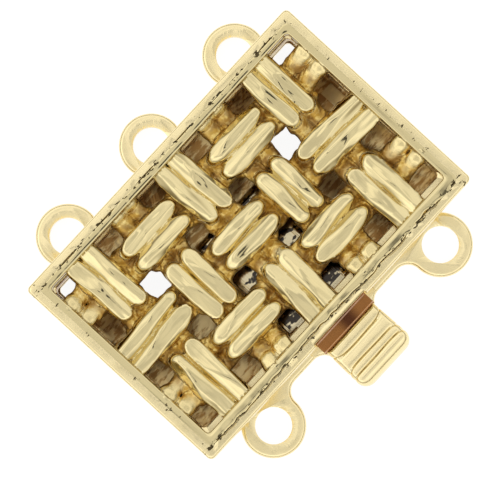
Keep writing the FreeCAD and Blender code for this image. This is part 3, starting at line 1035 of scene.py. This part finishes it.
def thumb_gold():
    """The polished gold of the thumb piece, with painted shade as broken dark lines along its grooves."""
    finish = Finish("thumb gold")
    waves = finish.noise(0.9, 1.5)
    broken = finish.noise(2.2, 1.0)
    x, y = finish.side(0), finish.side(1)
    lines = [groove_line(place, curl, y, Wire.sine) for place, curl in GROOVES]
    # painted shade along the grooves, in broken dark lines
    groove = sum(x.within(line, 0.006, 0.030) for line in lines)
    groove = groove * y.within(0, 1.60, GROOVE_END) * finish.height().between(2.6, 2.8)
    colour = finish.mix(waves.between(0.4, 0.8) * 0.3, GOLD, GOLD_WARM)
    colour = finish.mix(groove * (0.35 + 0.6 * broken), colour, PIT_AND_SHADE)
    normal = finish.bump(waves, 0.05, 0.6)
    return finish.metal(colour, 0.23 + 0.15 * groove, normal)


def bright_leaf():
    """Rolled spring metal: silver, painted near black as shade inside the box but for patches of painted
    highlight, with painted red-brown shade at the neck.
    """
    finish = Finish("bright leaf")
    lines = finish.noise(3.0, 2.0, 0.5, (0.15, 4.0, 1.0))
    x, y = finish.side(0), finish.side(1)
    # patches of painted highlight on the leaf, fewer between x 2.6 and 3.6
    leaf_highlights = finish.noise(2.6, 2.0, 0.5, (1.0, 0.7, 1.0))
    leaf_highlights = (leaf_highlights - 0.12 * x.between(2.6, 3.6)).between(0.43, 0.49)
    # no painted shade on the leaf from x 5 on and along its long edges
    edge = x.between(4.98, 5.00).at_least(abs(y).between(2.24, 2.27))
    leaf_highlights = leaf_highlights.at_least(edge)
    # painted shade: the leaf from x 6 on, the neck in its slot, goes red-brown, darkest near its middle,
    # with two painted glints across it
    neck = x.between(5.6, 6.0)
    colour = finish.mix(leaf_highlights, LEAF_SHADE, SILVER)
    neck_shade_colour = finish.mix(y.within(0.3, 0.1, 0.8) * 0.9, NECK_SHADE, NECK_SHADE_DEEP)
    glints = x.within(6.62, 0.02, 0.05) + x.within(7.23, 0.02, 0.05)
    neck_shade_colour = finish.mix(glints * 0.7, neck_shade_colour, NECK_GLINT)
    colour = finish.mix(neck, colour, neck_shade_colour)
    normal = finish.bump(lines, 0.02, 0.5)
    return finish.metal(colour, 0.08 + 0.06 * lines + 0.14 * neck, normal)


def dress(piece, material, body, slot, *nodes):
    """Gives a piece its finish and says what it stands for."""
    piece.data.materials.clear()
    piece.data.materials.append(material)
    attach(piece, body)
    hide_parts(*nodes)


def join_meshes(name, parts, sharp_deg=None):
    """One object from several sets of vertices and faces."""
    vertices, faces, base = [], [], 0
    for part_vertices, part_faces in parts:
        vertices.append(np.asarray(part_vertices))
        faces += [tuple(int(n) + base for n in face) for face in part_faces]
        base += len(part_vertices)
    return build(name, np.concatenate(vertices), faces, sharp_deg)


def make_clasp():
    polished = polished_gold()
    forms = woven_forms()
    weave = skin(cast_together(forms), *WEAVE_BOX, WEAVE_STEP)
    border = border_band()
    top = join_meshes("woven_top_finish", [weave, border], 50)
    places, polish = strand_places(weave[0], forms)
    places = np.concatenate([places, 0.3 * border[0]])
    polish = np.concatenate([polish, np.ones(len(border[0]))])
    marks = top.data.attributes
    marks.new("strand", "FLOAT_VECTOR", "POINT").data.foreach_set("vector", (places * MM).ravel())
    marks.new("polish", "FLOAT", "POINT").data.foreach_set("value", polish)
    dress(top, cast_gold(), "box", "cast_gold", "woven_top")

    wall = build("case_wall_finish", *case_shell(), sharp_deg=40)
    mouth_w, mouth_z = MOUTH
    notch_w, notch_z = NOTCH
    # the cutters reach past the wall on both sides
    carve(wall, [box_cutter("mouth", (4.2, -mouth_w / 2, 0), (7.6, mouth_w / 2, mouth_z)),
                 box_cutter("notch", (4.3, -notch_w / 2, 0.1), (7.7, notch_w / 2, notch_z)),
                 box_cutter("thumb relief", (RELIEF_X, -notch_w / 2, 1.0), (7.8, notch_w / 2, 4.4))])
    dress(wall, polished, "box", "polished_gold", "case_wall")

    dress(back_plate(), polished, "box", "polished_gold", "back_plate")

    base = tongue_base()
    leaf = build("lower_leaf", *lower_leaf(), sharp_deg=50)
    with bpy.context.temp_override(active_object=base, selected_editable_objects=[base, leaf]):
        bpy.ops.object.join()
    dress(base, polished, "box", "polished_gold", "tongue_plate")

    spring = build("tongue_leaf_finish", *upper_leaf(), sharp_deg=50)
    dress(spring, bright_leaf(), "lever", "bright_leaf", "tongue_leaf")

    x_in, x_out = THUMB_X
    pad = skin(thumb_field, (x_in, -1.95, THUMB_Z[0]), (x_out, 1.95, 3.25), THUMB_STEP)
    pad = build("thumb_piece_finish", *pad)
    dress(pad, thumb_gold(), "lever", "polished_gold", "thumb_piece")


# Camera and table
CAMERA_AWAY = 300.0
CAMERA_AIM = (0.622, -0.564, RIM_TOP)
CAMERA_LEAN = (2.37, -0.60)    # degrees that it leans towards +X and +Y from straight above
CAMERA_TURN = 42.61            # degrees from +X to the picture's horizontal
PICTURE_SCALE = 5652.5 / 500   # focal length in picture widths
SENSOR = 36.0
TABLE_HALF = 260.0
GAP = (0.19, 0.16, 0.10, 1)    # the dim gap at the foot of the tent


def camera_back():
    """The direction from the clasp to the camera."""
    lean_x, lean_y = [sin(radians(a)) for a in CAMERA_LEAN]
    return Vector((lean_x, lean_y, sqrt(1 - lean_x ** 2 - lean_y ** 2)))


def set_camera():
    back = camera_back()
    turn = radians(CAMERA_TURN)
    right = Vector((cos(turn), sin(turn), 0))
    right = (right - back * right.dot(back)).normalized()
    up = back.cross(right)
    place = (Vector(CAMERA_AIM) + back * CAMERA_AWAY) * MM
    data = bpy.data.cameras.new("camera")
    data.sensor_width = SENSOR
    data.lens = PICTURE_SCALE * SENSOR
    data.clip_start = 0.01
    camera = bpy.data.objects.new("camera", data)
    camera.matrix_world = Matrix.Translation(place) @ Matrix((right, up, back)).transposed().to_4x4()
    bpy.context.scene.collection.objects.link(camera)
    bpy.context.scene.camera = camera


def set_table():
    half = TABLE_HALF
    corners = [(-half, -half, 0), (half, -half, 0), (half, half, 0), (-half, half, 0)]
    table = build("table", corners, [(0, 1, 2, 3)])
    finish = Finish("light table")
    shader = finish.node("ShaderNodeBsdfPrincipled", None,
                         {"Base Color": (0.17, 0.17, 0.17, 1), "Roughness": 0.9,
                          "Emission Color": WHITE, "Emission Strength": 0.92})
    finish.node("ShaderNodeOutputMaterial", None, {"Surface": shader})
    table.data.materials.append(finish.material)


def set_light():
    """A white tent with soft folds: dimmer overhead, where the lens looks in as a dark disc, with a panel
    towards -Y and a narrow strip towards -X that are brighter, and a dim gap at its foot."""
    world = bpy.data.worlds.new("tent")
    bpy.context.scene.world = world
    tent = Tree(world)
    direction = tent.node("ShaderNodeTexCoord", output="Generated")
    x, y, z = [tent.axis(direction, n) for n in range(3)]
    overhead = tent.node("ShaderNodeVectorMath", {"operation": "DOT_PRODUCT"},
                         {0: direction, 1: camera_back()}, output="Value")
    folds = tent.node("ShaderNodeTexNoise", None, {"Vector": direction, "Scale": 3.2, "Detail": 1.5})
    lens = overhead.between(cos(radians(4.3)), cos(radians(3.5)))
    panel = z.between(0.60, 0.63) * (1 - z.between(0.80, 0.83)) * (-y).between(0.25, 0.33)
    strip_light = (-x).between(0.09, 0.13) * (1 - (-x).between(0.22, 0.28)) * z.between(0.90, 0.93)
    light = 1.05 + 0.20 * folds.between(0.38, 0.60) - 0.36 * overhead.between(0.80, 0.93)
    light = light * (1 - 0.12 * y.between(0.15, 0.55)) * (1 - 0.92 * lens)
    light = light + 0.22 * panel + 0.34 * strip_light
    colour = tent.mix(z.between(0.05, 0.58), GAP, WHITE)
    glow = tent.node("ShaderNodeBackground", None, {"Color": colour, "Strength": light})
    tent.node("ShaderNodeOutputWorld", None, {"Surface": glow})
    bpy.context.scene.view_settings.view_transform = "Standard"


set_camera()
set_table()
set_light()
make_clasp()
